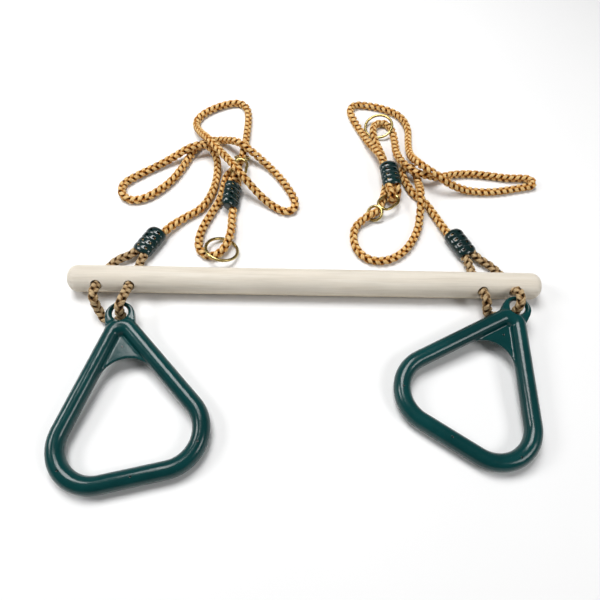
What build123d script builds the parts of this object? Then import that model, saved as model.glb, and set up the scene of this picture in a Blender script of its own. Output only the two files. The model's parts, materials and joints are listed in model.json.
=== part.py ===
"""Wooden trapeze bar with two triangular gym rings, each on its own adjustable rope.

Millimetres, +Z up. The set lies on a floor at Z = 0. X runs along the bar, the gym rings lie
towards -Y and the ropes lie bundled towards +Y. The origin is the middle of the box of the bar
and the rings, at the floor.
"""
import os
from math import cos, radians, sin, tan

from build123d import *

# Bar
BAR_LENGTH = 580
BAR_RADIUS = 16.5
BAR_END_ROUND = 11.5
BAR_Y = 116
HOLE_RADIUS = 6.5
HOLE_TILT = 30  # a hole rises towards the front by this angle
HOLE_X = (-253, -214, 214, 253)

# Rope
ROPE_RADIUS = 5.5
ARC_SHARE = 0.45  # share of the shorter neighbouring run that an arc may use

# Triangular gym ring, in its own plane: eye centre at the origin, grip towards -Y
GRIP_RADIUS = 9.75
GRIP_Y = -184.2
RING_HALF_ANGLE = 30.6
RING_APEX_Y = -6.6
RING_CORNER_RADIUS = 40.8
RING_APEX_RADIUS = 10.5
LUG_RADIUS = 16.5
LUG_Y = -4
LUG_THICKNESS = 9
LUG_FOOT_Y = -22
EYE_RADIUS = 8.75
EYE_FLARE_RADIUS = 11.5
WEB_THICKNESS = 4
WEB_EDGE_Y = -57
RING_EYE_Z = 24
RING_REST_TILT = 4.35
RING_PLACES = {"left": (-218.24, 65.74, 12.6), "right": (252.15, 81.27, -33.4)}

# Rope sleeve: two snapped half shells over two strands
SLEEVE_LENGTH = 42
SLEEVE_HALF_WIDTH = 12.8
SLEEVE_HALF_HEIGHT = 7.9
SLEEVE_END_SHRINK = 1.6
SLEEVE_TIP_LENGTH = 3
RIB_HEIGHT = 0.8
RIB_WIDTH = 2.4
RIB_PITCH = 9
RIB_COUNT = 4
BORE_RADIUS = 5.6
BORE_OFFSET = 5.65
SHORT_BORE_PAST_MIDDLE = 1
CHANNEL_WIDTH = 4
CHANNEL_HEIGHT = 8
# name: centre, heading of the sleeve, roll, side of the bore that is open at both ends
SLEEVE_PLACES = {
    "left_lower": ((-204, 177.6, 9), 62, 0, 1),
    "right_lower": ((204, 185, 9), 115.6, 0, -1),
    "left_upper": ((-103, 256.5, 11.6), 266, -45, -1),
    "right_upper": ((118.6, 294.5, 20.2), 93.6, 0, -1),
}

# Welded ring that hangs on the swing hook
TOP_RING_RADIUS = 20.5
WIRE_RADIUS = 2
TOP_RING_Z = 8.3
TOP_RING_TILT = 17.7
TOP_RING_PLACES = {"left": (-110.6, 168.7, 225), "right": (112.9, 405.5, 35)}

# Rope adjuster: a wire figure of eight, its small eye bent down onto the floor
ADJUSTER_EYE_RADIUS = 10
ADJUSTER_EYE_TILT = 34.4
ADJUSTER_EYE_Z = 7.65
ADJUSTER_REACH = 40.8
ADJUSTER_WIRE_Z = 13.5
ADJUSTER_WELD_GAP = 1.2  # from the eye's centreline to the start of the loop
ADJUSTER_PLACES = {"left": (-93, 332.6, 264.4), "right": (94, 234.7, 40.3)}

# Rope routes. Each rope is one length in use; it is split at the middles of its two sleeves.
LEFT_BAR_ROUTE = [
    (-199.0, 174.9, 9), (-210.8, 152.9, 9), (-214, 135.1, 5.5), (-214, 82.6, 35.8),
    (-218.2, 65.7, 35.8), (-218.2, 65.7, 5.5), (-233, 63, 5.5), (-242, 66, 5.5),
    (-249, 76, 11), (-252, 82, 26), (-253, 92, 30.4), (-253, 135.1, 5.5),
    (-241, 152, 6.5), (-221, 157.7, 9), (-209, 180.3, 9),
]
RIGHT_BAR_ROUTE = [
    (209.1, 187.4, 9), (220, 164.6, 9), (240, 152, 6.5), (253, 135.1, 5.5), (253, 101.8, 24.7),
    (252.9, 98.8, 36.8), (252.2, 79.5, 36.8), (252.2, 79.5, 5.5), (237, 78.5, 5.5),
    (226, 79, 5.5), (219.5, 80.5, 11), (215.5, 83, 25), (214, 92, 30.4), (214, 135.1, 5.5),
    (209.3, 160.8, 9), (198.9, 182.6, 9),
]
LEFT_END_ROUTE = [
    (-99, 256.2, 7.6), (-97.4, 279.5, 7.6), (-97.2, 288, 5.5), (-96.2, 299.8, 5.5), (-96.2, 299.8, 21.8),
    (-97.6, 286.5, 21.8), (-105.3, 280.2, 15.6), (-107, 256.8, 15.6),
]
RIGHT_END_ROUTE = [
    (113, 294.1, 20.2), (114.4, 272, 20.2), (117.6, 256.9, 23.4), (118.2, 256.5, 5.7),
    (130.3, 268.1, 5.7), (126, 270.5, 20.2), (124.2, 294.9, 20.2),
]
LEFT_HANK_ROUTE = [
    (-199.0, 174.9, 9), (-187.3, 197, 9), (-165, 221, 5.5), (-144, 236, 5.5), (-134, 257, 5.5),
    (-128.5, 279, 5.5), (-127, 305, 5.5), (-129, 329, 8), (-138, 343, 15), (-150, 347, 18.5),
    (-168, 340, 18.5), (-186, 332, 11), (-211, 316, 5.5), (-237, 297, 5.5), (-257, 280, 5.5),
    (-257, 262, 5.5), (-243, 248, 5.5), (-219, 254, 5.5), (-192, 282, 5.5), (-178, 311, 5.5),
    (-170, 334, 5.5), (-163, 352, 5.5), (-150, 364, 5.5), (-136, 369, 5.5), (-121, 366, 9),
    (-102, 351, 22.5), (-84, 337, 22.5), (-58, 322, 7), (-38, 299, 5.5), (-22, 272, 5.5),
    (-14, 251, 5.5), (-20, 236, 5.5), (-34, 236, 5.5), (-53, 249, 7), (-70, 261, 17),
    (-84, 272, 28), (-95, 283, 34.5), (-106, 298, 34.5), (-123, 321, 32), (-139, 342, 32.5),
    (-155, 370, 17), (-168, 398, 6), (-165, 418, 5.5), (-149, 435, 5.5), (-126, 449, 5.5),
    (-104, 454, 5.5), (-91, 442, 5.5), (-88, 418, 5.5), (-89, 391, 5.5), (-90, 364, 6.5),
    (-91.3, 350, 10.7), (-92.3, 338, 11), (-94, 328.5, 5.5), (-103, 313, 5.5), (-114.5, 299, 5.5),
    (-116.5, 275, 5.5), (-119.5, 253, 5.5), (-129, 231, 5.5), (-140, 203, 5.5), (-143, 178, 5.5),
    (-135, 162, 5.5), (-119, 159, 5.5), (-107, 170, 8), (-101, 187, 10.6), (-99.8, 207, 9),
    (-101.2, 225, 7.6), (-99, 256.2, 7.6),
]
RIGHT_HANK_ROUTE = [
    (198.9, 182.6, 9), (187.2, 206.9, 9), (178, 234, 5.5), (168, 257, 5.5), (151.5, 273, 5.5),
    (143, 295, 5.5), (140, 312, 5.5), (143, 325, 5.5), (157, 325, 5.5), (161, 311, 5.5),
    (161.5, 288, 7.5), (159, 267, 18.5), (157, 245, 18.5), (156, 232, 9), (153, 214, 5.5), (144, 194, 5.5),
    (131, 175, 5.5), (113, 161, 5.5), (95, 156, 5.5), (77, 160, 5.5), (65, 175, 5.5),
    (62, 193, 5.5), (65, 210, 5.5), (74.5, 221, 6.5), (82.5, 226, 10.6), (89, 230.8, 10.4),
    (98.5, 238.5, 5.5),
    (106, 256, 5.5), (112, 276, 5.5), (117, 303, 5.5), (117, 330, 5.5), (112, 354, 5.5),
    (104, 375, 9), (102, 394, 10.8), (108, 412, 7), (124, 417, 5.5), (134, 404, 5.5),
    (136, 378, 5.5), (134, 350, 9), (138, 322, 18), (153, 302, 18.5), (171, 297, 18),
    (192, 303, 7), (217, 313, 5.5), (246, 314, 5.5), (270, 311, 5.5), (295, 307, 5.5),
    (317, 308, 5.5), (330.5, 306.5, 5.5), (331.5, 293.5, 5.5), (316, 290.5, 5.5),
    (290, 284, 5.5), (261, 279, 5.5),
    (232, 280, 6), (206, 281, 16), (187, 285, 27), (171, 295, 30.5), (157, 311, 29),
    (152, 340, 14), (156, 377, 5.5), (160, 405, 5.5), (151, 433, 5.5), (127, 449, 5.5),
    (99, 456, 5.5), (78, 457, 5.5), (69, 444, 5.5), (77, 415, 5.5), (88, 389, 6),
    (97, 360, 12), (107, 335, 20.2), (111.4, 318, 20.2), (113, 294.1, 20.2),
]
# name: route, and the arcs that are set by hand, by point number
ROPES = {
    "left_bar_rope": (LEFT_BAR_ROUTE, {3: 21.9, 4: 10.5, 5: 10}),
    "right_bar_rope": (RIGHT_BAR_ROUTE, {4: 9, 5: 10, 6: 9.8, 7: 9.8}),
    "left_end_rope": (LEFT_END_ROUTE, {3: 7.6, 4: 7.6}),
    "right_end_rope": (RIGHT_END_ROUTE, {2: 7, 3: 7, 4: 7, 5: 6}),
    "left_hank_rope": (LEFT_HANK_ROUTE, {}),
    "right_hank_rope": (RIGHT_HANK_ROUTE, {}),
}


def on_plane(x, y, z, heading, tilt=0, roll=0):
    """A place whose own +X points along heading, then nose up by tilt and rolled."""
    return Pos(x, y, z) * Rot(0, 0, heading) * Rot(0, -tilt, 0) * Rot(roll, 0, 0)


def rope(route, name, tight):
    """Round rope along straight runs joined by tangent arcs; tight gives arcs by point number."""
    points = [Vector(*point) for point in route]
    runs = [after - before for before, after in zip(points, points[1:])]
    arcs = []
    for number, (run_in, run_out) in enumerate(zip(runs, runs[1:]), start=1):
        turn = radians(run_in.get_angle(run_out))
        arc = ARC_SHARE * min(run_in.length, run_out.length) / tan(turn / 2)
        arcs.append(tight.get(number, arc))
    path = FilletPolyline(*points, radius=arcs)
    tube = sweep(Plane(points[0], z_dir=runs[0]) * Circle(ROPE_RADIUS), path=path)
    expected = Circle(ROPE_RADIUS).area * path.length
    print(name, "length", round(path.length), "volume / expected", round(tube.volume / expected, 4))
    print("  radii", " ".join(f"{arc:.0f}" for arc in arcs))
    return tube


def make_bar():
    """Turned wooden bar with rounded ends and four slanting rope holes."""
    rod = Rot(0, 90, 0) * Cylinder(BAR_RADIUS, BAR_LENGTH)
    rod = fillet(rod.edges().filter_by(GeomType.CIRCLE), BAR_END_ROUND)
    hole = Rot(90 - HOLE_TILT, 0, 0) * Cylinder(HOLE_RADIUS, 4 * BAR_RADIUS)
    for x in HOLE_X:
        rod -= Pos(x, 0, 0) * hole
    return Pos(0, BAR_Y, BAR_RADIUS) * rod


def make_gym_ring():
    """Triangular ring in its own plane, with its lug, flared eye and web."""
    corner_x = (RING_APEX_Y - GRIP_Y) * tan(radians(RING_HALF_ANGLE))
    corners = ((0, RING_APEX_Y), (-corner_x, GRIP_Y), (corner_x, GRIP_Y))
    radii = [RING_APEX_RADIUS, RING_CORNER_RADIUS, RING_CORNER_RADIUS]
    path = FilletPolyline(*corners, radius=radii, close=True)
    ring = sweep(Plane(path @ 0, z_dir=path % 0) * Circle(GRIP_RADIUS), path=path)

    lug = Pos(0, LUG_Y) * Circle(LUG_RADIUS)
    lug += Pos(0, (LUG_Y + LUG_FOOT_Y) / 2) * Rectangle(2 * LUG_RADIUS, LUG_Y - LUG_FOOT_Y)
    lug = extrude(lug, LUG_THICKNESS / 2, both=True)

    slope = tan(radians(RING_HALF_ANGLE))
    half_sine = sin(radians(RING_HALF_ANGLE))
    edge_radius = ((RING_APEX_Y - WEB_EDGE_Y) * half_sine - GRIP_RADIUS) / (1 - half_sine)
    edge_y = WEB_EDGE_Y - edge_radius
    foot_y = edge_y + edge_radius * half_sine
    foot_x = (RING_APEX_Y - foot_y) * slope
    web = make_face(Polyline((0, LUG_FOOT_Y), (foot_x, foot_y), (-foot_x, foot_y), close=True))
    web -= Pos(0, edge_y) * Circle(edge_radius)
    web = extrude(web, WEB_THICKNESS / 2, both=True)

    flare = EYE_FLARE_RADIUS - EYE_RADIUS
    far = 2 * LUG_THICKNESS
    far_radius = EYE_RADIUS + flare * far / (LUG_THICKNESS / 2)
    side = ((0, -far), (far_radius, -far), (EYE_RADIUS, 0), (far_radius, far), (0, far))
    eye = revolve(Plane.XZ * make_face(Polyline(*side, close=True)), Axis.Z)
    return ring + lug + web - eye


def make_sleeve(upper):
    """Half shell along +X, parted at its own Z = 0; one bore is open at both ends."""
    barrel = Plane.YZ * Ellipse(SLEEVE_HALF_WIDTH, SLEEVE_HALF_HEIGHT)
    body = extrude(barrel, SLEEVE_LENGTH / 2 - SLEEVE_TIP_LENGTH, both=True)
    shrink = SLEEVE_END_SHRINK / 2
    tip = Plane.YZ * Ellipse(SLEEVE_HALF_WIDTH - shrink, SLEEVE_HALF_HEIGHT - shrink)
    body += extrude(tip, SLEEVE_LENGTH / 2, both=True)
    rib = Plane.YZ * Ellipse(SLEEVE_HALF_WIDTH + RIB_HEIGHT, SLEEVE_HALF_HEIGHT + RIB_HEIGHT)
    rib = extrude(rib, RIB_WIDTH / 2, both=True)
    for number in range(RIB_COUNT):
        body += Pos((number - (RIB_COUNT - 1) / 2) * RIB_PITCH, 0, 0) * rib
    bore_length = SLEEVE_LENGTH + 2
    bore = Rot(0, 90, 0) * Cylinder(BORE_RADIUS, bore_length)
    body -= Pos(0, -BORE_OFFSET, 0) * bore
    short_x = SHORT_BORE_PAST_MIDDLE - bore_length / 2
    body -= Pos(short_x, BORE_OFFSET, 0) * bore
    body -= Pos(short_x, 0, 0) * Box(bore_length, CHANNEL_WIDTH, CHANNEL_HEIGHT)
    span = 4 * SLEEVE_HALF_WIDTH
    side = Align.MIN if upper else Align.MAX
    keep = Box(2 * SLEEVE_LENGTH, span, span, align=(Align.CENTER, Align.CENTER, side))
    return body & keep


def make_top_ring():
    """Welded steel ring."""
    return Torus(TOP_RING_RADIUS, WIRE_RADIUS)


def make_adjuster():
    """Wire figure of eight: small tilted eye at the origin, long level loop towards +X."""
    radius = ADJUSTER_EYE_RADIUS
    eye = Pos(0, 0, ADJUSTER_EYE_Z) * Rot(0, -ADJUSTER_EYE_TILT, 0) * Torus(radius, WIRE_RADIUS)
    near_x = radius * cos(radians(ADJUSTER_EYE_TILT)) + ADJUSTER_WELD_GAP + radius
    far_x = ADJUSTER_REACH - radius
    far_end = Edge.make_three_point_arc((far_x, -radius), (ADJUSTER_REACH, 0), (far_x, radius))
    near_end = Edge.make_three_point_arc(
        (near_x, radius), (near_x - radius, 0), (near_x, -radius)
    )
    near_side = Edge.make_line((near_x, -radius), (far_x, -radius))
    far_side = Edge.make_line((far_x, radius), (near_x, radius))
    loop = Wire([near_side, far_end, far_side, near_end])
    start = Plane(loop @ 0, z_dir=loop % 0) * Circle(WIRE_RADIUS)
    return eye + Pos(0, 0, ADJUSTER_WIRE_Z) * sweep(start, path=loop)


nodes = {"wooden_bar": make_bar()}
for side, (x, y, heading) in RING_PLACES.items():
    place = Pos(x, y, RING_EYE_Z) * Rot(0, 0, heading) * Rot(RING_REST_TILT, 0, 0)
    nodes[f"{side}_gym_ring"] = place * make_gym_ring()
for sleeve, (centre, heading, roll, open_side) in SLEEVE_PLACES.items():
    place = on_plane(*centre, heading, roll=roll)
    if open_side < 0:
        place = place * Rot(180, 0, 0)
    nodes[f"{sleeve}_sleeve_top"] = place * make_sleeve(open_side > 0)
    nodes[f"{sleeve}_sleeve_base"] = place * make_sleeve(open_side < 0)
for side, (x, y, high_side) in TOP_RING_PLACES.items():
    place = on_plane(x, y, TOP_RING_Z, high_side, TOP_RING_TILT)
    nodes[f"{side}_top_ring"] = place * make_top_ring()
for side, (x, y, heading) in ADJUSTER_PLACES.items():
    nodes[f"{side}_rope_adjuster"] = on_plane(x, y, 0, heading) * make_adjuster()
for rope_name, (route, tight) in ROPES.items():
    nodes[rope_name] = rope(route, rope_name, tight)

os.makedirs("parts", exist_ok=True)
for node, shape in nodes.items():
    export_step(shape, f"parts/{node}.step")
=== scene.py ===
"""Looks of the wooden trapeze bar with two triangular gym rings on their ropes.

Metres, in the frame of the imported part: X along the bar, the gym rings towards -Y, the hanks
of rope towards +Y, the floor at Z = 0.
"""
import itertools
import json
import math

import bpy
import numpy as np
from mathutils import Matrix, Vector

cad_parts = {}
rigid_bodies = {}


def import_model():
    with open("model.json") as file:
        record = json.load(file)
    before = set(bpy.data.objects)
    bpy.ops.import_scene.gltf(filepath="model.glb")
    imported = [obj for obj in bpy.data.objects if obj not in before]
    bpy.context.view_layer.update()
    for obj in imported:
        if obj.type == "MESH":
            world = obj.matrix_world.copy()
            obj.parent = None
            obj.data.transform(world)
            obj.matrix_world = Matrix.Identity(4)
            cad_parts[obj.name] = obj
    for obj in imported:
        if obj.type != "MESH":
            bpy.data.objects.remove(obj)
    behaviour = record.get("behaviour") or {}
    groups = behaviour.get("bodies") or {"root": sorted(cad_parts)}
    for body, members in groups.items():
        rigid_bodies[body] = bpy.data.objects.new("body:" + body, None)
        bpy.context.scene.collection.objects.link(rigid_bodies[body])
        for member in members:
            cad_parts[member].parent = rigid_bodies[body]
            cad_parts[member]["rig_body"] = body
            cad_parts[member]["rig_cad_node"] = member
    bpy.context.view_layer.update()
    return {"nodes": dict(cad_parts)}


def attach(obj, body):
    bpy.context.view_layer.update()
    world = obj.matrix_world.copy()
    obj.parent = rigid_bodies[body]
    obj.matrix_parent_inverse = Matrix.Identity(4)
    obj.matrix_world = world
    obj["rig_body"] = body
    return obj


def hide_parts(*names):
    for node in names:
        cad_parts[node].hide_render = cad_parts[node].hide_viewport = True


MM = 0.001

# Rope: four units of two yarns, two units wound to the right and two to the left
ROPE_DIAMETER = 11 * MM
LAY_LENGTH = 18.6 * MM
YARN_PATH_RADIUS = 3.35 * MM
YARN_RISE = 1.0 * MM
YARN_HALF_THICK = 1.55 * MM
YARN_HALF_WIDE = 1.75 * MM
YARN_STAGGER = 2.3 * MM
YARN_TWIST_LENGTH = 9 * MM
YARN_SIDES = 7
# Depth below the rope's outside over which the painted shade in the yarn gaps goes from none to
# full
SHADE_DEPTH_SPAN = ROPE_DIAMETER / 3.5
STEPS_PER_LAY = 16
SPLINE_STEPS = 24
FLOOR_GAP = 0.1 * MM
START_TURNS = {
    "left_bar_rope": 0.4, "right_bar_rope": 1.1, "left_end_rope": 0.7,
    "right_end_rope": 0.2, "left_hank_rope": 0.8, "right_hank_rope": 0.5,
}

# Bar, and the gap under which two points of a mesh are one
BAR_DIAMETER = 33 * MM
WELD_GAP = 0.02 * MM

# Sleeve shells, in their own frame along +X, parted at their own Z = 0
SLEEVE_PROFILE = [
    (-21, 0), (-21, 9.2), (-20.2, 10.8), (-18.4, 12), (-17, 12.9), (-15.2, 13.5), (-12, 13.6),
    (-10.2, 13.2), (-9.2, 12.2), (-8.2, 13.3), (-6.4, 13.6), (-2.6, 13.6), (-0.9, 13.3), (0, 12.2),
    (0.9, 13.3), (2.6, 13.6), (6.4, 13.6), (8.2, 13.3), (9.2, 12.2), (10.2, 13.2), (12, 13.6),
    (15.2, 13.5), (17, 12.9), (18.4, 12), (20.2, 10.8), (21, 9.2), (21, 0),
]
SLEEVE_FLATNESS = 0.64
SLEEVE_SPIN_STEPS = 40
BORE_RADIUS = 5.6
BORE_OFFSET = 5.65
BORE_LENGTH = 60
BLIND_BORE_X = -29
CHANNEL_WIDTH = 4
CHANNEL_HEIGHT = 8
WINDOW_XS = (-13.6, -4.5, 4.5, 13.6)
WINDOW_Z = 8
WINDOW_SIZE = (3, 4.6, 9)
SLEEVE_EDGE_RADIUS = 0.35
# name: centre, heading, roll, side of the bore that is open at both ends
SLEEVE_PLACES = {
    "left_lower": ((-204, 177.6, 9), 62, 0, 1),
    "right_lower": ((204, 185, 9), 115.6, 0, -1),
    "left_upper": ((-103, 256.5, 11.6), 266, -45, -1),
    "right_upper": ((118.6, 294.5, 20.2), 93.6, 0, -1),
}

# Gym rings: eye centre, heading and tilt of the ring's own plane
RING_EYE_Z = 24
RING_REST_TILT = 4.35
RING_PLACES = {"left": (-218.24, 65.74, 12.6), "right": (252.15, 81.27, -33.4)}
# Extra bend inside the apex of a gym ring
APEX_TUBE_RADIUS = 9.4
APEX_BEND_RADIUS = 14.5
APEX_BEND_Y = -34.5
APEX_BEND_HALF_ANGLE = 59.4
APEX_SPIN_STEPS = 16
SKIN_VOXEL = 0.95
SOFTENING_ROUNDS = 7
# Moulding marks on a ring's upper face: x, y and height of the face, in the ring's own frame
MARKS = [(0, -43, 2), (0, -21, 4.5), (0, -184.2, 9.75), (-69, -163.6, 9.75), (69, -163.6, 9.75)]
MARK_RADIUS = 1.3
MARK_HEIGHT = 0.9
MARK_RIM = 0.5
MARK_SLOPE = 0.15
MARK_SINK = 0.4
MARK_EDGE_RADIUS = 0.12

# Studio: name, place, edge length and watts of each light, all facing one point
LIGHTS = [
    ("ceiling_box", (-0.3, 0.7, 1.7), 0.9, 30),
    ("left_box", (-1.3, 0.2, 1.1), 0.5, 9),
    ("right_box", (1.2, -0.5, 1.3), 0.6, 9),
]
LIGHT_AIM = (0, 0.15, 0)
FLOOR_SIZE = 3.4
# Grey of the surroundings at two heights above the horizon
SURROUNDINGS = [(0.04, 0.9), (0.3, 0.08)]
CAMERA_LENS = 29.34
CAMERA_SENSOR = 36
CAMERA_PLACE = (-0.0289, -0.1983, 0.5322)
CAMERA_TURN_DEGREES = (29.26, -2.1, -0.09)

# Middle line of each rope, in millimetres
ROUTES = {
    "left_bar_rope": [
        (-199, 174.9, 9), (-210.8, 152.9, 9), (-214, 135.1, 5.5), (-214, 82.6, 35.8),
        (-218.2, 65.7, 35.8), (-218.2, 65.7, 5.5), (-233, 63, 5.5), (-242, 66, 5.5),
        (-249, 76, 11), (-252, 82, 26), (-253, 92, 30.4), (-253, 135.1, 5.5), (-241, 152, 6.5),
        (-221, 157.7, 9), (-209, 180.3, 9),
    ],
    "right_bar_rope": [
        (209.1, 187.4, 9), (220, 164.6, 9), (240, 152, 6.5), (253, 135.1, 5.5), (253, 101.8, 24.7),
        (252.9, 98.8, 36.8), (252.2, 79.5, 36.8), (252.2, 79.5, 5.5), (237, 78.5, 5.5),
        (226, 79, 5.5), (219.5, 80.5, 11), (215.5, 83, 25), (214, 92, 30.4), (214, 135.1, 5.5),
        (209.3, 160.8, 9), (198.9, 182.6, 9),
    ],
    "left_end_rope": [
        (-99, 256.2, 7.6), (-97.4, 279.5, 7.6), (-97.2, 288, 5.5), (-96.2, 299.8, 5.5),
        (-96.2, 299.8, 21.8), (-97.6, 286.5, 21.8), (-105.3, 280.2, 15.6), (-107, 256.8, 15.6),
    ],
    "right_end_rope": [
        (113, 294.1, 20.2), (114.4, 272, 20.2), (117.6, 256.9, 23.4), (118.2, 256.5, 5.7),
        (130.3, 268.1, 5.7), (126, 270.5, 20.2), (124.2, 294.9, 20.2),
    ],
    "left_hank_rope": [
        (-199, 174.9, 9), (-187.3, 197, 9), (-165, 221, 5.5), (-144, 236, 5.5), (-134, 257, 5.5),
        (-128.5, 279, 5.5), (-127, 305, 5.5), (-129, 329, 8), (-138, 343, 15), (-150, 347, 18.5),
        (-168, 340, 18.5), (-186, 332, 11), (-211, 316, 5.5), (-237, 297, 5.5), (-257, 280, 5.5),
        (-257, 262, 5.5), (-243, 248, 5.5), (-219, 254, 5.5), (-192, 282, 5.5), (-178, 311, 5.5),
        (-170, 334, 5.5), (-163, 352, 5.5), (-150, 364, 5.5), (-136, 369, 5.5), (-121, 366, 9),
        (-102, 351, 22.5), (-84, 337, 22.5), (-58, 322, 7), (-38, 299, 5.5), (-22, 272, 5.5),
        (-14, 251, 5.5), (-20, 236, 5.5), (-34, 236, 5.5), (-53, 249, 7), (-70, 261, 17),
        (-84, 272, 28), (-95, 283, 34.5), (-106, 298, 34.5), (-123, 321, 32), (-139, 342, 32.5),
        (-155, 370, 17), (-168, 398, 6), (-165, 418, 5.5), (-149, 435, 5.5), (-126, 449, 5.5),
        (-104, 454, 5.5), (-91, 442, 5.5), (-88, 418, 5.5), (-89, 391, 5.5), (-90, 364, 6.5),
        (-91.3, 350, 10.7), (-92.3, 338, 11), (-94, 328.5, 5.5), (-103, 313, 5.5),
        (-114.5, 299, 5.5), (-116.5, 275, 5.5), (-119.5, 253, 5.5), (-129, 231, 5.5),
        (-140, 203, 5.5), (-143, 178, 5.5), (-135, 162, 5.5), (-119, 159, 5.5), (-107, 170, 8),
        (-101, 187, 10.6), (-99.8, 207, 9), (-101.2, 225, 7.6), (-99, 256.2, 7.6),
    ],
    "right_hank_rope": [
        (198.9, 182.6, 9), (187.2, 206.9, 9), (178, 234, 5.5), (168, 257, 5.5), (151.5, 273, 5.5),
        (143, 295, 5.5), (140, 312, 5.5), (143, 325, 5.5), (157, 325, 5.5), (161, 311, 5.5),
        (161.5, 288, 7.5), (159, 267, 18.5), (157, 245, 18.5), (156, 232, 9), (153, 214, 5.5),
        (144, 194, 5.5), (131, 175, 5.5), (113, 161, 5.5), (95, 156, 5.5), (77, 160, 5.5),
        (65, 175, 5.5), (62, 193, 5.5), (65, 210, 5.5), (74.5, 221, 6.5), (82.5, 226, 10.6),
        (89, 230.8, 10.4), (98.5, 238.5, 5.5), (106, 256, 5.5), (112, 276, 5.5), (117, 303, 5.5),
        (117, 330, 5.5), (112, 354, 5.5), (104, 375, 9), (102, 394, 10.8), (108, 412, 7),
        (124, 417, 5.5), (134, 404, 5.5), (136, 378, 5.5), (134, 350, 9), (138, 322, 18),
        (153, 302, 18.5), (171, 297, 18), (192, 303, 7), (217, 313, 5.5), (246, 314, 5.5),
        (270, 311, 5.5), (295, 307, 5.5), (317, 308, 5.5), (330.5, 306.5, 5.5),
        (331.5, 293.5, 5.5), (316, 290.5, 5.5), (290, 284, 5.5), (261, 279, 5.5), (232, 280, 6),
        (206, 281, 16), (187, 285, 27), (171, 295, 30.5), (157, 311, 29), (152, 340, 14),
        (156, 377, 5.5), (160, 405, 5.5), (151, 433, 5.5), (127, 449, 5.5), (99, 456, 5.5),
        (78, 457, 5.5), (69, 444, 5.5), (77, 415, 5.5), (88, 389, 6), (97, 360, 12),
        (107, 335, 20.2), (111.4, 318, 20.2), (113, 294.1, 20.2),
    ],
}


def deselect_all():
    """Leave object mode with nothing selected and nothing active."""
    if bpy.context.object and bpy.context.object.mode != "OBJECT":
        bpy.ops.object.mode_set(mode="OBJECT")
    bpy.ops.object.select_all(action="DESELECT")
    bpy.context.view_layer.objects.active = None


def take_up(piece):
    """Select one piece alone and make it active."""
    deselect_all()
    piece.select_set(True)
    bpy.context.view_layer.objects.active = piece


def settle(piece, place=None):
    """Put the piece's place into its mesh, so that its object sits at the origin."""
    piece.data.transform((place or Matrix()) @ piece.matrix_world)
    piece.matrix_world = Matrix()
    return piece


def new_mesh_piece(name, verts, edges, faces):
    """A piece from points, edges and faces."""
    mesh = bpy.data.meshes.new(name)
    mesh.from_pydata(verts, edges, faces)
    piece = bpy.data.objects.new(name, mesh)
    bpy.context.scene.collection.objects.link(piece)
    return piece


def apply_all(piece):
    """Apply the piece's modifiers in their order."""
    take_up(piece)
    for modifier in list(piece.modifiers):
        bpy.ops.object.modifier_apply(modifier=modifier.name)


# ---------------------------------------------------------------- finishes


class Finish:
    """A material with its Principled shader and short ways to add nodes."""

    def __init__(self, name, **sockets):
        self.material = bpy.data.materials.new(name)
        self.material.use_nodes = True
        self.nodes = self.material.node_tree.nodes
        self.links = self.material.node_tree.links
        self.shader = self.nodes["Principled BSDF"]
        for socket, value in sockets.items():
            self.shader.inputs[socket.replace("_", " ")].default_value = value

    def add(self, kind, inputs=None, **settings):
        """A node of that kind; inputs are numbers, colours or other nodes' outputs."""
        node = self.nodes.new("ShaderNode" + kind)
        for name, value in settings.items():
            setattr(node, name, value)
        for name, value in (inputs or {}).items():
            if isinstance(value, bpy.types.NodeSocket):
                self.links.new(value, node.inputs[name])
            else:
                node.inputs[name].default_value = value
        return node

    def spread(self, scale=(1, 1, 1), source="Object", turn=(0, 0, 0)):
        """Coordinates on the piece, stretched by scale."""
        coordinates = self.add("TexCoord")
        stretch = {"Vector": coordinates.outputs[source], "Scale": scale, "Rotation": turn}
        return self.add("Mapping", stretch).outputs["Vector"]

    def noise(self, where, scale, detail=3, roughness=0.5, distortion=0):
        """Noise in that place, as one number from 0 to 1."""
        inputs = {"Vector": where, "Scale": scale, "Detail": detail}
        inputs.update({"Roughness": roughness, "Distortion": distortion})
        return self.add("TexNoise", inputs).outputs["Fac"]

    def ramp(self, value, *stops):
        """Colours by value; a stop is a position and a colour or a grey."""
        node = self.add("ValToRGB", {"Fac": value})
        elements = node.color_ramp.elements
        while len(elements) < len(stops):
            elements.new(0.5)
        for element, (position, colour) in zip(elements, stops):
            element.position = position
            grey = isinstance(colour, (int, float))
            element.color = (colour, colour, colour, 1) if grey else (*colour, 1)
        return node.outputs["Color"]

    def darken(self, share, first, second):
        """The first colour multiplied by the second, by that share."""
        inputs = {0: share, 6: first, 7: second}
        return self.add("Mix", inputs, data_type="RGBA", blend_type="MULTIPLY").outputs[2]

    def bump(self, height, distance, strength=1, below=None):
        """Fine relief on the surface, over relief below."""
        inputs = {"Height": height, "Distance": distance, "Strength": strength}
        if below is not None:
            inputs["Normal"] = below
        return self.add("Bump", inputs).outputs["Normal"]

    def wire(self, **sockets):
        """Lead outputs into the shader's own sockets."""
        for socket, output in sockets.items():
            self.links.new(output, self.shader.inputs[socket.replace("_", " ")])
        return self.material


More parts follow.
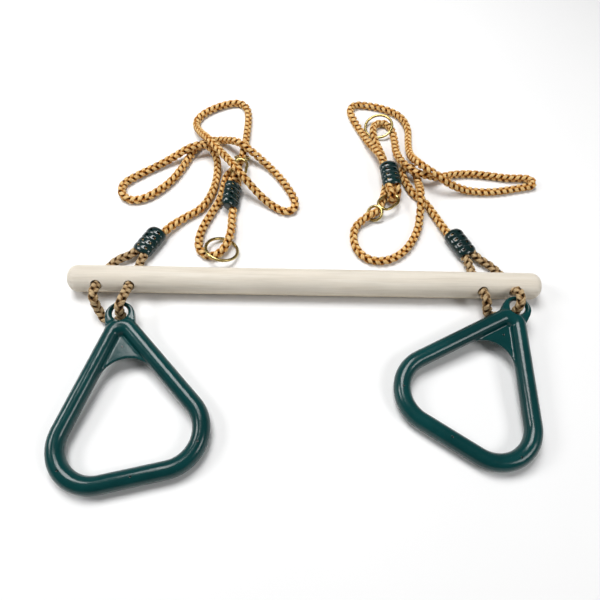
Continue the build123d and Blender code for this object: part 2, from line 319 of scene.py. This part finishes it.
def rope_finish(name, light, warm, shade, gap_shade):
    """Spun yarns: a painted highlight, pale, where they stand up, and painted shade, brown, in the
    hollows between them.
    """
    rope = Finish(name, Roughness=0.7, Specular_IOR_Level=0.12)
    # Painted shade and highlight: colour by how deep the yarn's surface lies below the rope's
    # outside, pale on top, brown to dark in the gaps, made uneven by noise
    depth = rope.add("Attribute", attribute_name="painted_shade_depth").outputs["Fac"]
    shade_noise = rope.noise(rope.spread(), 170, detail=4)
    uneven = rope.add("Math", {0: shade_noise, 1: 0.5}, operation="SUBTRACT").outputs[0]
    depth = rope.add("Math", {0: uneven, 1: 0.5, 2: depth}, operation="MULTIPLY_ADD").outputs[0]
    body = rope.ramp(depth, (0.03, light), (0.2, warm), (0.4, shade), (0.72, gap_shade))
    fibres = rope.noise(rope.spread((0.5, 22, 1), "UV"), 3, detail=3, roughness=0.6)
    streaks = rope.ramp(fibres, (0.3, 0.5), (0.62, 1))
    body = rope.darken(0.75, body, streaks)
    patches = rope.ramp(rope.noise(rope.spread(), 28, detail=2), (0.35, 0.8), (0.7, 1.0))
    body = rope.darken(0.8, body, patches)
    strands = rope.add("TexWave", {"Vector": rope.spread((0, 1, 0), "UV"), "Scale": 1.6,
                                   "Distortion": 1.5, "Detail": 2.0}, bands_direction="Y")
    relief = rope.bump(strands.outputs["Fac"], 0.0004, 0.5)
    relief = rope.bump(fibres, 0.0005, 0.8, relief)
    return rope.wire(Base_Color=body, Normal=relief)


def wood_finish():
    """Sanded pale hardwood with its grain along the bar."""
    wood = Finish("turned_pale_wood", Roughness=0.5, Specular_IOR_Level=0.4)
    along = wood.spread((1, 18, 18))
    figure = wood.noise(along, 9, detail=5, roughness=0.55, distortion=0.6)
    tone = wood.ramp(figure, (0.25, (0.64, 0.575, 0.475)), (0.5, (0.70, 0.64, 0.545)),
                     (0.75, (0.74, 0.69, 0.60)))
    pores = wood.noise(wood.spread((6, 300, 300)), 4, detail=3)
    tone = wood.darken(0.55, tone, wood.ramp(pores, (0.32, 0.82), (0.5, 1)))
    blotch = wood.ramp(wood.noise(wood.spread((1, 3, 3)), 10), (0.35, 0.86), (0.65, 1.0))
    tone = wood.darken(0.7, tone, blotch)
    # Painted shade: the bar is tan towards its underside and cream towards its top, by height
    height = wood.add("SeparateXYZ", {0: wood.spread()}).outputs["Z"]
    scaled = wood.add("Math", {0: height, 1: 1 / BAR_DIAMETER}, operation="MULTIPLY").outputs[0]
    painted_underside_shade = wood.ramp(scaled, (0.1, (0.62, 0.52, 0.38)), (0.5, (0.96, 0.93, 0.88)),
                        (0.75, (1, 1, 1)))
    tone = wood.darken(1, tone, painted_underside_shade)
    sanded = wood.ramp(pores, (0.3, 0.6), (0.7, 0.48))
    relief = wood.bump(pores, 0.00025, 0.5, wood.bump(figure, 0.0006, 0.3))
    return wood.wire(Base_Color=tone, Roughness=sanded, Normal=relief)


def moulded_finish(name, deep, pale, roughness, relief, shine):
    """Glossy moulded plastic, slightly wavy, with fine rub marks."""
    plastic = Finish(name, Specular_IOR_Level=shine, Coat_Weight=0.06, Coat_Roughness=0.08)
    swirl = plastic.noise(plastic.spread(), 24, detail=3, distortion=0.4)
    colour = plastic.ramp(swirl, (0.3, deep), (0.72, pale))
    rubs = plastic.noise(plastic.spread((1, 5, 2), turn=(0, 0, 0.6)), 240, detail=4)
    gloss = plastic.ramp(rubs, (0.35, roughness), (0.75, roughness + 0.16))
    wavy = plastic.bump(plastic.noise(plastic.spread(), 60, detail=1), relief, 0.5)
    fine = plastic.bump(rubs, 0.00006, 0.35, wavy)
    return plastic.wire(Base_Color=colour, Roughness=gloss, Normal=fine)


def plated_finish():
    """Bright drawn wire under thin yellow zinc, dulled in patches."""
    plate = Finish("yellow_zinc_plate", Metallic=1.0)
    patch = plate.noise(plate.spread(), 130, detail=4, roughness=0.6)
    colour = plate.ramp(patch, (0.3, (0.30, 0.22, 0.07)), (0.5, (0.48, 0.37, 0.14)),
                        (0.72, (0.66, 0.55, 0.27)))
    drawn = plate.noise(plate.spread(), 900, detail=3)
    dull = plate.ramp(drawn, (0.3, 0.16), (0.75, 0.38))
    return plate.wire(Base_Color=colour, Roughness=dull, Normal=plate.bump(drawn, 0.00008, 0.5))


def floor_finish():
    """Plain matt white paper."""
    paper = Finish("pale_floor_paper", Roughness=0.9, Specular_IOR_Level=0.1)
    tone = paper.ramp(paper.noise(paper.spread(), 3), (0.3, 0.87), (0.7, 0.89))
    return paper.wire(Base_Color=tone)


# ---------------------------------------------------------------- ropes


def smooth_line(name, route):
    """Points along the NURBS spline whose control points are the route's."""
    curve = bpy.data.curves.new(name + "_line", "CURVE")
    curve.dimensions = "3D"
    curve.resolution_u = SPLINE_STEPS
    spline = curve.splines.new("NURBS")
    spline.points.add(len(route) - 1)
    for point, place in zip(spline.points, route):
        point.co = (*(value * MM for value in place), 1)
    spline.order_u = 3
    spline.use_endpoint_u = True
    holder = bpy.data.objects.new(name + "_line", curve)
    line = bpy.data.meshes.new_from_object(holder)
    points = np.array([vertex.co for vertex in line.vertices])
    bpy.data.objects.remove(holder)
    return points


def unit(rows):
    """Rows of vectors at length one."""
    return rows / np.linalg.norm(rows, axis=-1, keepdims=True)


def even_stations(line):
    """Places, directions and two cross directions at even steps along a smooth line."""
    gaps = np.linalg.norm(np.diff(line, axis=0), axis=1)
    travelled = np.concatenate([[0], np.cumsum(gaps)])
    count = round(travelled[-1] / LAY_LENGTH * STEPS_PER_LAY)
    along = np.linspace(0, travelled[-1], count)
    place = np.stack([np.interp(along, travelled, line[:, axis]) for axis in range(3)], axis=1)
    ahead = unit(np.gradient(place, axis=0))
    side = np.zeros_like(place)
    carried = np.cross(ahead[0], (0, 0, 1))
    for number, direction in enumerate(ahead):
        carried = carried - direction * carried.dot(direction)
        carried /= np.linalg.norm(carried)
        side[number] = carried
    return along, place, side, np.cross(ahead, side)


def plaited_rope(name, route, start_turn):
    """Eight yarns plaited about a smooth line, two by two, right over left at two sides of
    the rope and left over right at the two between."""
    line = smooth_line(name, route)
    along, place, side, rise = even_stations(line)
    verts, faces, uvs, yarn_shade_depths = [], [], [], []
    around = np.arange(YARN_SIDES) / YARN_SIDES
    count = len(along)
    for lay, half, stagger in itertools.product((1, -1), (0, 1), (-1, 1)):
        shifted = along + stagger * YARN_STAGGER / 2
        turn = lay * 2 * math.pi * shifted / LAY_LENGTH + half * math.pi
        out = YARN_PATH_RADIUS + lay * YARN_RISE * np.cos(2 * turn)
        turned = turn + start_turn
        radial = np.cos(turned)[:, None] * side + np.sin(turned)[:, None] * rise
        centre = place + out[:, None] * radial
        ahead = unit(np.gradient(centre, axis=0))
        up = unit(radial - ahead * np.sum(radial * ahead, axis=1, keepdims=True))
        across = np.cross(ahead, up)
        swing = 2 * math.pi * around[None, :, None]
        ring = centre[:, None] + YARN_HALF_THICK * np.cos(swing) * up[:, None]
        ring = ring + YARN_HALF_WIDE * np.sin(swing) * across[:, None]
        ring[..., 2] = np.maximum(ring[..., 2], FLOOR_GAP)
        first = len(verts)
        verts.extend(ring.reshape(-1, 3).tolist())
        # Painted shade: how deep each point lies below the rope's outside, kept as a point
        # attribute that the rope finish turns into painted shade and highlight
        reach = np.linalg.norm(ring - place[:, None], axis=2)
        shade_share = (ROPE_DIAMETER / 2 - reach) / SHADE_DEPTH_SPAN
        yarn_shade_depths.append(np.clip(shade_share, 0, 1).ravel())
        run = along / YARN_TWIST_LENGTH
        for step in range(count - 1):
            for face in range(YARN_SIDES):
                after = (face + 1) % YARN_SIDES
                low = first + step * YARN_SIDES
                high = low + YARN_SIDES
                faces.append((low + face, low + after, high + after, high + face))
                v_near, v_far = face / YARN_SIDES, (face + 1) / YARN_SIDES
                uvs.extend([(run[step], v_near + run[step]), (run[step], v_far + run[step]),
                            (run[step + 1], v_far + run[step + 1]),
                            (run[step + 1], v_near + run[step + 1])])
        last = first + (count - 1) * YARN_SIDES
        faces.append(tuple(range(first + YARN_SIDES - 1, first - 1, -1)))
        faces.append(tuple(range(last, last + YARN_SIDES)))
        uvs.extend([(0, 0)] * 2 * YARN_SIDES)
    rope = new_mesh_piece(name.replace("_rope", "_plait"), verts, [], faces)
    rope.data.uv_layers.new(name="along_yarn").data.foreach_set("uv", np.array(uvs).ravel())
    painted_shade_depth = rope.data.attributes.new("painted_shade_depth", "FLOAT", "POINT")
    painted_shade_depth.data.foreach_set("value", np.concatenate(yarn_shade_depths).astype(np.float32))
    rope.data.polygons.foreach_set("use_smooth", [True] * len(faces))
    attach(rope, "root")
    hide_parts(name)
    return rope


# ---------------------------------------------------------------- sleeves


def cut(piece, tool):
    """Cut the tool out of the piece."""
    boolean = piece.modifiers.new("cut", "BOOLEAN")
    boolean.operation = "DIFFERENCE"
    boolean.solver = "EXACT"
    boolean.object = tool
    apply_all(piece)
    bpy.data.objects.remove(tool)


def make_shell():
    """Upper half shell: a banded barrel with two bores, a channel and two rows of windows."""
    side_line = [(x * MM, r * MM, 0) for x, r in SLEEVE_PROFILE]
    edges = [(number, number + 1) for number in range(len(side_line) - 1)]
    shell = new_mesh_piece("shell", side_line, edges, [])
    take_up(shell)
    bpy.context.tool_settings.mesh_select_mode = (True, False, False)
    bpy.ops.object.mode_set(mode="EDIT")
    bpy.ops.mesh.select_all(action="SELECT")
    bpy.ops.mesh.spin(
        steps=SLEEVE_SPIN_STEPS, angle=-math.pi, center=(0, 0, 0), axis=(1, 0, 0))
    bpy.ops.mesh.select_all(action="SELECT")
    bpy.ops.mesh.remove_doubles(threshold=WELD_GAP)
    bpy.ops.mesh.select_all(action="DESELECT")
    bpy.ops.mesh.select_non_manifold()
    bpy.ops.mesh.edge_face_add()
    bpy.ops.mesh.select_all(action="SELECT")
    bpy.ops.transform.resize(value=(1, 1, SLEEVE_FLATNESS), center_override=(0, 0, 0))
    bpy.ops.mesh.normals_make_consistent(inside=False)
    bpy.ops.object.mode_set(mode="OBJECT")
    for y, x in ((-BORE_OFFSET, 0), (BORE_OFFSET, BLIND_BORE_X)):
        bpy.ops.mesh.primitive_cylinder_add(
            vertices=32, radius=BORE_RADIUS * MM, depth=BORE_LENGTH * MM,
            location=(x * MM, y * MM, 0), rotation=(0, math.pi / 2, 0))
        cut(shell, bpy.context.object)
    bpy.ops.mesh.primitive_cube_add(
        size=1, location=(BLIND_BORE_X * MM, 0, 0),
        scale=(BORE_LENGTH * MM, CHANNEL_WIDTH * MM, CHANNEL_HEIGHT * MM))
    cut(shell, bpy.context.object)
    for x, y in itertools.product(WINDOW_XS, (-BORE_OFFSET, BORE_OFFSET)):
        bpy.ops.mesh.primitive_cube_add(
            size=1, location=(x * MM, y * MM, WINDOW_Z * MM),
            scale=[length * MM for length in WINDOW_SIZE])
        cut(shell, bpy.context.object)
    rounding = shell.modifiers.new("rounding", "BEVEL")
    rounding.width = SLEEVE_EDGE_RADIUS * MM
    rounding.segments = 2
    rounding.limit_method = "ANGLE"
    rounding.angle_limit = math.radians(40)
    apply_all(shell)
    take_up(shell)
    bpy.ops.object.shade_smooth_by_angle(angle=math.radians(38))
    return shell


def make_sleeves(finish):
    """Four sleeves of two shells each."""
    shell = make_shell()
    for name, (centre, heading, roll, open_side) in SLEEVE_PLACES.items():
        place = Matrix.Translation(Vector(centre) * MM)
        place = place @ Matrix.Rotation(math.radians(heading), 4, "Z")
        place = place @ Matrix.Rotation(math.radians(roll), 4, "X")
        if open_side < 0:
            place = place @ Matrix.Rotation(math.pi, 4, "X")
        for upper in (True, False):
            half = "top" if upper == (open_side > 0) else "base"
            piece = bpy.data.objects.new(f"{name}_sleeve_{half}_shell", shell.data.copy())
            bpy.context.scene.collection.objects.link(piece)
            if not upper:
                piece.data.transform(Matrix.Diagonal((1, 1, -1, 1)))
                piece.data.flip_normals()
            settle(piece, place)
            piece.data.materials.append(finish)
            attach(piece, "root")
            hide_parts(f"{name}_sleeve_{half}")
    bpy.data.objects.remove(shell)


# ---------------------------------------------------------------- rings


def ring_place(side):
    """From a gym ring's own frame to where it lies."""
    x, y, heading = RING_PLACES[side]
    place = Matrix.Translation(Vector((x, y, RING_EYE_Z)) * MM)
    place = place @ Matrix.Rotation(math.radians(heading), 4, "Z")
    return place @ Matrix.Rotation(math.radians(RING_REST_TILT), 4, "X")


def apex_fill():
    """Short bend of grip that rounds the inside of the apex, in a ring's own frame."""
    deselect_all()
    bpy.ops.mesh.primitive_circle_add(
        vertices=32, radius=APEX_TUBE_RADIUS * MM, fill_type="NGON",
        location=(APEX_BEND_RADIUS * MM, APEX_BEND_Y * MM, 0), rotation=(math.pi / 2, 0, 0))
    fill = settle(bpy.context.object)
    bend = math.radians(2 * APEX_BEND_HALF_ANGLE)
    fill.data.transform(Matrix.Translation((0, -APEX_BEND_Y * MM, 0)))
    fill.data.transform(Matrix.Rotation((math.pi - bend) / 2, 4, "Z"))
    bpy.ops.object.mode_set(mode="EDIT")
    bpy.ops.mesh.select_all(action="SELECT")
    bpy.ops.mesh.spin(steps=APEX_SPIN_STEPS, angle=-bend, center=(0, 0, 0), axis=(0, 0, 1))
    bpy.ops.mesh.select_all(action="SELECT")
    bpy.ops.mesh.normals_make_consistent(inside=False)
    bpy.ops.object.mode_set(mode="OBJECT")
    fill.data.transform(Matrix.Translation((0, APEX_BEND_Y * MM, 0)))
    return fill


def moulded_ring(side, finish):
    """The ring as it leaves its mould, with soft corners where web and lug meet the grip."""
    node = frame["nodes"][f"{side}_gym_ring"]
    ring = node.copy()
    ring.data = node.data.copy()
    ring.name = f"{side}_ring_moulding"
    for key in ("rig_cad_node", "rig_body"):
        del ring[key]
    ring.parent = None
    ring.data.materials.clear()
    ring.data.materials.append(finish)
    bpy.context.scene.collection.objects.link(ring)
    take_up(ring)
    bpy.ops.object.mode_set(mode="EDIT")
    bpy.ops.mesh.select_all(action="SELECT")
    bpy.ops.mesh.remove_doubles(threshold=WELD_GAP)
    bpy.ops.object.mode_set(mode="OBJECT")
    inner = apex_fill()
    settle(inner, ring_place(side))
    take_up(ring)
    inner.select_set(True)
    bpy.ops.object.join()
    remesh = ring.modifiers.new("skin", "REMESH")
    remesh.mode = "VOXEL"
    remesh.voxel_size = SKIN_VOXEL * MM
    remesh.use_smooth_shade = True
    softening = ring.modifiers.new("softening", "SMOOTH")
    softening.factor = 0.5
    softening.iterations = SOFTENING_ROUNDS
    apply_all(ring)
    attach(ring, f"{side}_gym_ring_body")
    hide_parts(f"{side}_gym_ring")
    return ring


def moulding_marks(side, finish):
    """Small round pips with a sunk centre that the mould's pins leave on the upper face."""
    place = ring_place(side)
    for number, (x, y, z) in enumerate(MARKS):
        deselect_all()
        bpy.ops.mesh.primitive_cylinder_add(
            vertices=24, radius=MARK_RADIUS * MM, depth=MARK_HEIGHT * MM,
            location=(x * MM, y * MM, z * MM))
        pip = bpy.context.object
        pip.name = f"{side}_ring_mark_{number + 1}"
        settle(pip)
        bpy.context.tool_settings.mesh_select_mode = (False, False, True)
        for part in (*pip.data.vertices, *pip.data.edges):
            part.select = False
        for polygon in pip.data.polygons:
            polygon.select = polygon.normal.z > 0.9
        bpy.ops.object.mode_set(mode="EDIT")
        bpy.ops.mesh.inset(thickness=MARK_RIM * MM, depth=0)
        bpy.ops.mesh.inset(thickness=MARK_SLOPE * MM, depth=-MARK_SINK * MM)
        bpy.ops.object.mode_set(mode="OBJECT")
        rounding = pip.modifiers.new("rounding", "BEVEL")
        rounding.width = MARK_EDGE_RADIUS * MM
        rounding.segments = 2
        apply_all(pip)
        settle(pip, place)
        pip.data.materials.append(finish)
        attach(pip, f"{side}_gym_ring_body")


# ---------------------------------------------------------------- the object

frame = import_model()

wood = wood_finish()
ring_plastic = moulded_finish(
    "deep_green_plastic", (0.0012, 0.031, 0.032), (0.0026, 0.048, 0.049),
    roughness=0.13, relief=0.0003, shine=0.32)
sleeve_plastic = moulded_finish(
    "dark_sleeve_plastic", (0.0015, 0.012, 0.012), (0.003, 0.024, 0.024),
    roughness=0.14, relief=0.0003, shine=0.6)
plate = plated_finish()
hank_finish = rope_finish("spun_rope_golden", (1.0, 0.68, 0.29), (0.60, 0.235, 0.035),
                          (0.25, 0.072, 0.010), (0.05, 0.012, 0.002))
bar_finish = rope_finish("spun_rope_beige", (0.65, 0.47, 0.26), (0.34, 0.20, 0.088),
                         (0.12, 0.058, 0.018), (0.028, 0.012, 0.003))

for rope_name, rope_route in ROUTES.items():
    rope = plaited_rope(rope_name, rope_route, START_TURNS[rope_name])
    rope.data.materials.append(bar_finish if "bar" in rope_name else hank_finish)

make_sleeves(sleeve_plastic)
for ring_side in RING_PLACES:
    moulded_ring(ring_side, ring_plastic)
    moulding_marks(ring_side, sleeve_plastic)

cad_finishes = {"wooden_bar": wood, "left_top_ring": plate, "right_top_ring": plate,
                "left_rope_adjuster": plate, "right_rope_adjuster": plate}
for node_name, node_finish in cad_finishes.items():
    frame["nodes"][node_name].data.materials.clear()
    frame["nodes"][node_name].data.materials.append(node_finish)

# ---------------------------------------------------------------- studio

deselect_all()
bpy.ops.mesh.primitive_plane_add(size=FLOOR_SIZE, location=(0, 0, 0))
floor = bpy.context.object
floor.name = "studio_floor"
floor.data.materials.append(floor_finish())


def soft_light(name, place, size, watts):
    """A square soft box at place, facing the object."""
    lamp = bpy.data.lights.new(name, "AREA")
    lamp.size = size
    lamp.energy = watts
    box = bpy.data.objects.new(name, lamp)
    box.location = place
    box.rotation_mode = "QUATERNION"
    box.rotation_quaternion = (Vector(LIGHT_AIM) - Vector(place)).to_track_quat("-Z", "Y")
    bpy.context.scene.collection.objects.link(box)


for light in LIGHTS:
    soft_light(*light)

world = bpy.data.worlds.new("studio_air")
bpy.context.scene.world = world
world.use_nodes = True
air = world.node_tree
sky_height = air.nodes.new("ShaderNodeSeparateXYZ")
air.links.new(air.nodes.new("ShaderNodeTexCoord").outputs["Generated"], sky_height.inputs[0])
sky = air.nodes.new("ShaderNodeValToRGB")
for stop, (level, grey) in zip(sky.color_ramp.elements, SURROUNDINGS):
    stop.position = level
    stop.color = (grey, grey, grey, 1)
air.links.new(sky_height.outputs["Z"], sky.inputs["Fac"])
air.links.new(sky.outputs["Color"], air.nodes["Background"].inputs["Color"])

camera_data = bpy.data.cameras.new("camera")
camera_data.lens = CAMERA_LENS
camera_data.sensor_width = CAMERA_SENSOR
camera = bpy.data.objects.new("camera", camera_data)
camera.location = CAMERA_PLACE
camera.rotation_euler = [math.radians(angle) for angle in CAMERA_TURN_DEGREES]
bpy.context.scene.collection.objects.link(camera)
bpy.context.scene.camera = camera
bpy.context.scene.view_settings.view_transform = "Standard"
